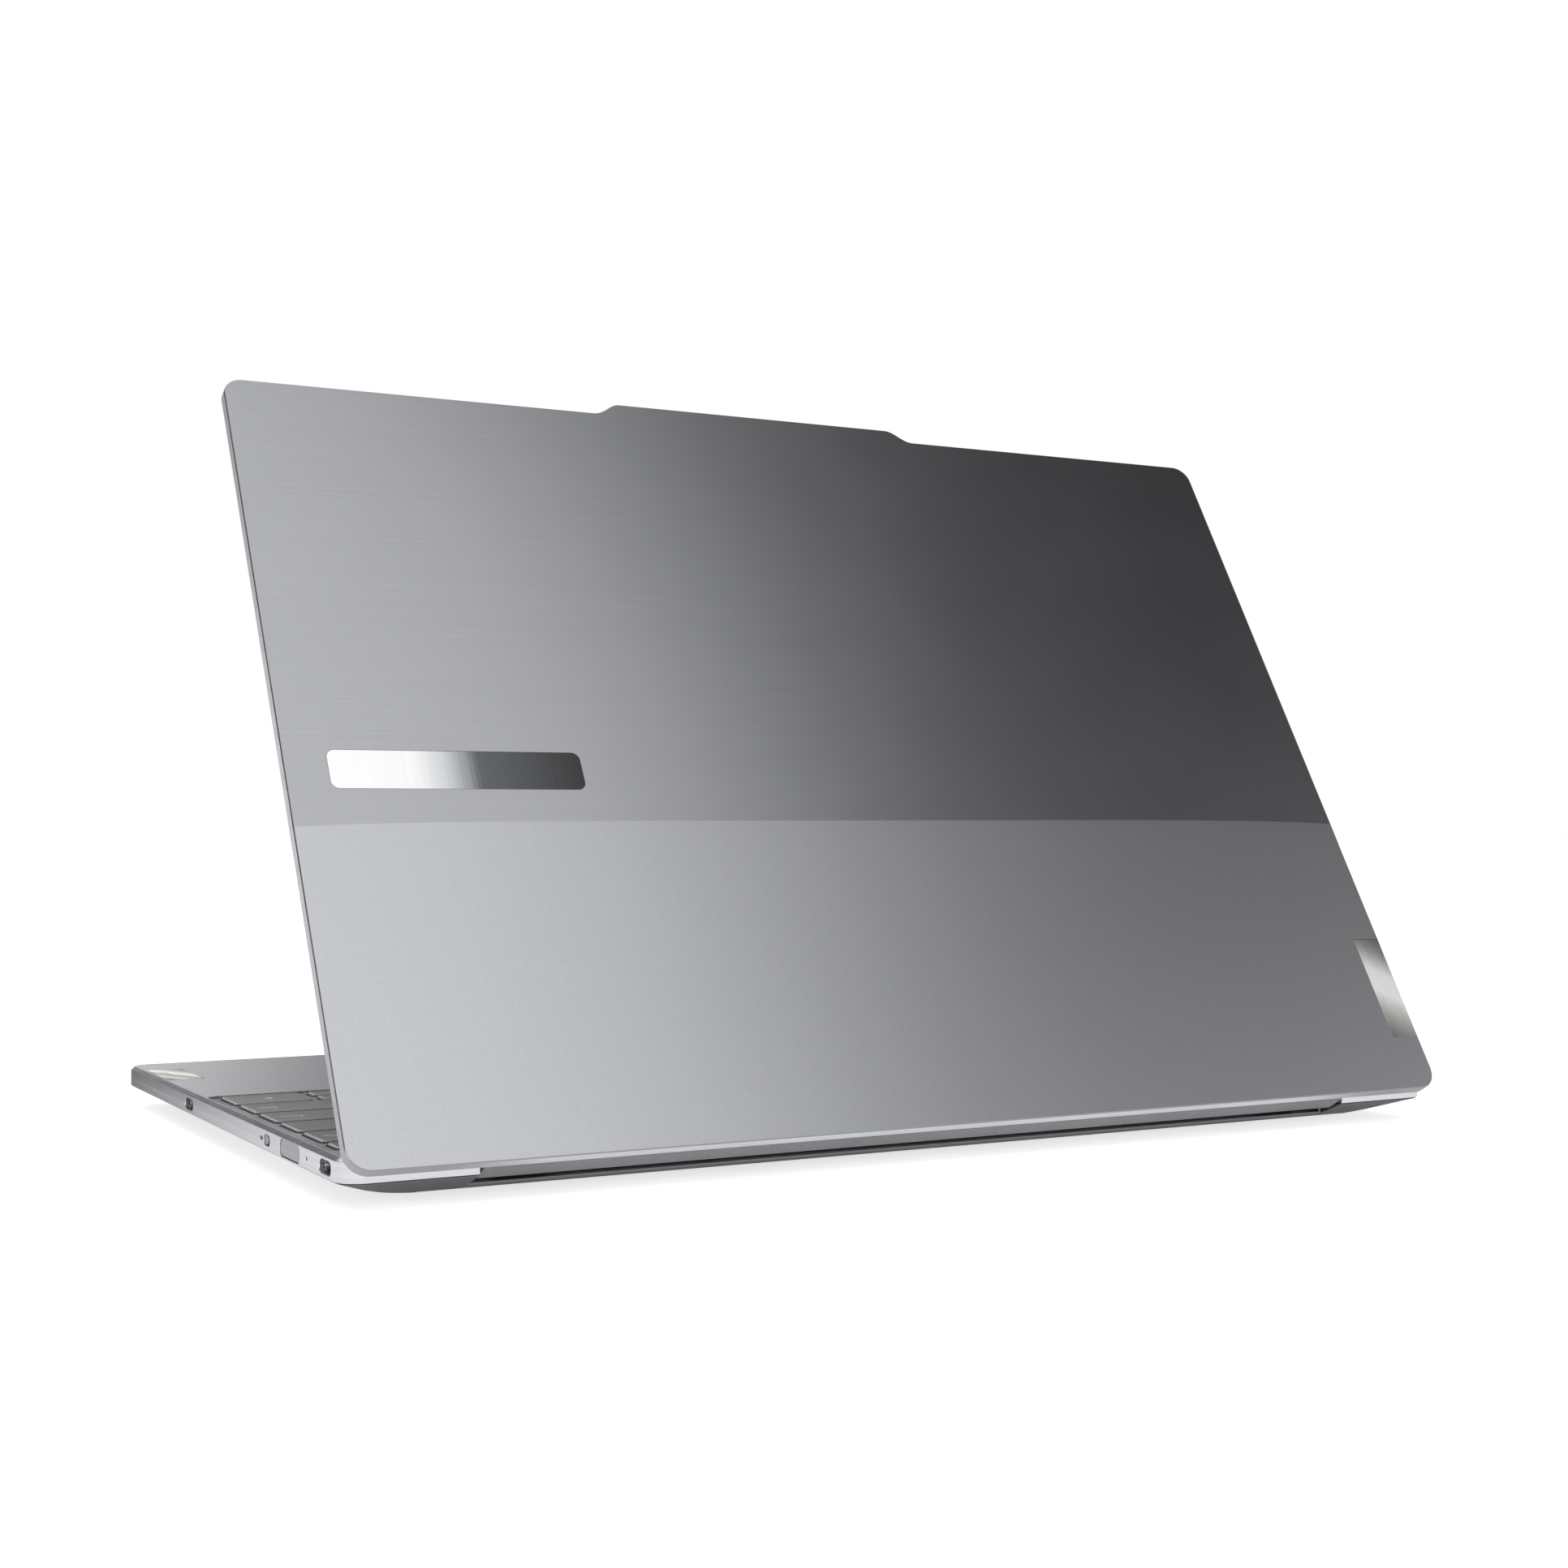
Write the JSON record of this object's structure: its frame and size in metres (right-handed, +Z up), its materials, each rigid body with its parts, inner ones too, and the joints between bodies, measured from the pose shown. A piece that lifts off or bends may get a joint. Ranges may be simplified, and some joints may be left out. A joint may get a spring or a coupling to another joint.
{
  "type": "laptop computer",
  "caption": "Thin clamshell laptop computer with a hinged lid that opens past upright, a recessed full-width keyboard, a touchpad and side ports.",
  "frame": {"origin": "desk level, under the middle of the computer's bounding box with the lid as stored, 60 degrees open from closed", "axes": "+X to the user's right along the hinge, +Y away from the user towards the hinge, +Z up from the desk"},
  "size_m": [0.2934, 0.2092, 0.1896],
  "materials": {
    "base_metal": "fine bead-blasted anodised aluminium with brushed side band",
    "lid_metal": "two-tone anodised aluminium: smooth above, fine sandblasted below",
    "touchpad": "satin etched glass matched to the deck",
    "side_button": "satin anodised aluminium",
    "polished_inlay": "polished metal inlay",
    "keycap": "matte moulded plastic with pale legends",
    "rubber": "matte rubber",
    "glass": "glossy black glass",
    "hinge_cover": "satin painted plastic",
    "inner_plastic": "matte black plastic",
    "steel": "stamped steel",
    "circuit_board": "green solder mask",
    "copper": "bare copper",
    "battery_foil": "black laminated pouch foil"
  },
  "bodies": {
    "base": {"top_cover": "base_metal", "bottom_cover": "base_metal", "keyboard_plate": "steel", "palm_rest_plate": "polished_inlay", "battery_pack": "battery_foil", "motherboard": "circuit_board", "heat_pipe": "copper", "storage_module": "circuit_board", "speaker_left": "inner_plastic", "speaker_right": "inner_plastic", "usb_port_right_front": "steel", "usb_port_right_rear": "steel", "usb_port_left": "steel", "audio_jack": "inner_plastic", "power_light_guide": "glass", "foot_front": "rubber", "foot_rear": "rubber", "fan_left_housing": "inner_plastic", "fan_right_housing": "inner_plastic", "hinge_bracket_left": "steel", "hinge_bracket_right": "steel", "screw_1": "steel", "screw_2": "steel", "screw_3": "steel", "screw_4": "steel", "screw_5": "steel", "screw_6": "steel", "screw_7": "steel", "screw_8": "steel"},
    "lid": {"lid_cover": "lid_metal", "display_bezel": "rubber", "screen_glass": "glass", "display_panel": "inner_plastic", "camera_module": "inner_plastic", "lid_edge_tag": "polished_inlay", "lid_emblem_bar": "polished_inlay", "hinge_cover": "hinge_cover", "display_cable": "inner_plastic", "antenna_strip": "copper", "hinge_arm_left": "steel", "hinge_arm_right": "steel", "hinge_pin_left": "steel", "hinge_pin_right": "steel"},
    "touchpad": {"touchpad": "touchpad"},
    "power_button": {"power_button": "side_button"},
    "camera_switch": {"camera_switch": "side_button"},
    "fan_left": {"fan_left_rotor": "inner_plastic"},
    "fan_right": {"fan_right_rotor": "inner_plastic"},
    "modifier_keys_left": {"modifier_keys_left": "keycap"},
    "space_bar": {"space_bar": "keycap"},
    "modifier_keys_right": {"modifier_keys_right": "keycap"},
    "right_arrow_key": {"right_arrow_key": "keycap"},
    "lower_letter_keys": {"lower_letter_keys": "keycap"},
    "home_letter_keys": {"home_letter_keys": "keycap"},
    "enter_key": {"enter_key": "keycap"},
    "upper_letter_keys": {"upper_letter_keys": "keycap"},
    "number_keys": {"number_keys": "keycap"},
    "backspace_key": {"backspace_key": "keycap"},
    "function_keys": {"function_keys": "keycap"}
  },
  "joints": [
    {"name": "lid_hinge", "type": "hinge", "parent": "base", "child": "lid", "pos_m": [0, 0.09745, 0.008], "axis": [-1, 0, 0], "range_deg": [-60, 75]},
    {"name": "touchpad_click", "type": "slide", "parent": "base", "child": "touchpad", "axis": [0, 0, -1], "range_m": [0, 0.00035], "stiffness_N_per_m": 3000, "springref_m": -0.0005},
    {"name": "power_button_press", "type": "slide", "parent": "base", "child": "power_button", "axis": [-1, 0, 0], "range_m": [0, 0.0004], "stiffness_N_per_m": 1500, "springref_m": -0.0005},
    {"name": "camera_switch_slide", "type": "slide", "parent": "base", "child": "camera_switch", "axis": [0, 1, 0], "range_m": [0, 0.0014]},
    {"name": "fan_left_spin", "type": "hinge", "parent": "base", "child": "fan_left", "pos_m": [-0.095, 0.056, 0.0045], "axis": [0, 0, 1], "continuous": true},
    {"name": "fan_right_spin", "type": "hinge", "parent": "base", "child": "fan_right", "pos_m": [0.095, 0.056, 0.0045], "axis": [0, 0, 1], "continuous": true},
    {"name": "modifier_keys_left_press", "type": "slide", "parent": "base", "child": "modifier_keys_left", "axis": [0, 0, -1], "range_m": [0, 0.0011], "stiffness_N_per_m": 400, "springref_m": -0.0015},
    {"name": "space_bar_press", "type": "slide", "parent": "base", "child": "space_bar", "axis": [0, 0, -1], "range_m": [0, 0.0011], "stiffness_N_per_m": 400, "springref_m": -0.0015},
    {"name": "modifier_keys_right_press", "type": "slide", "parent": "base", "child": "modifier_keys_right", "axis": [0, 0, -1], "range_m": [0, 0.0011], "stiffness_N_per_m": 400, "springref_m": -0.0015},
    {"name": "right_arrow_key_press", "type": "slide", "parent": "base", "child": "right_arrow_key", "axis": [0, 0, -1], "range_m": [0, 0.0011], "stiffness_N_per_m": 400, "springref_m": -0.0015},
    {"name": "lower_letter_keys_press", "type": "slide", "parent": "base", "child": "lower_letter_keys", "axis": [0, 0, -1], "range_m": [0, 0.0011], "stiffness_N_per_m": 400, "springref_m": -0.0015},
    {"name": "home_letter_keys_press", "type": "slide", "parent": "base", "child": "home_letter_keys", "axis": [0, 0, -1], "range_m": [0, 0.0011], "stiffness_N_per_m": 400, "springref_m": -0.0015},
    {"name": "enter_key_press", "type": "slide", "parent": "base", "child": "enter_key", "axis": [0, 0, -1], "range_m": [0, 0.0011], "stiffness_N_per_m": 400, "springref_m": -0.0015},
    {"name": "upper_letter_keys_press", "type": "slide", "parent": "base", "child": "upper_letter_keys", "axis": [0, 0, -1], "range_m": [0, 0.0011], "stiffness_N_per_m": 400, "springref_m": -0.0015},
    {"name": "number_keys_press", "type": "slide", "parent": "base", "child": "number_keys", "axis": [0, 0, -1], "range_m": [0, 0.0011], "stiffness_N_per_m": 400, "springref_m": -0.0015},
    {"name": "backspace_key_press", "type": "slide", "parent": "base", "child": "backspace_key", "axis": [0, 0, -1], "range_m": [0, 0.0011], "stiffness_N_per_m": 400, "springref_m": -0.0015},
    {"name": "function_keys_press", "type": "slide", "parent": "base", "child": "function_keys", "axis": [0, 0, -1], "range_m": [0, 0.0011], "stiffness_N_per_m": 400, "springref_m": -0.0015}
  ]
}
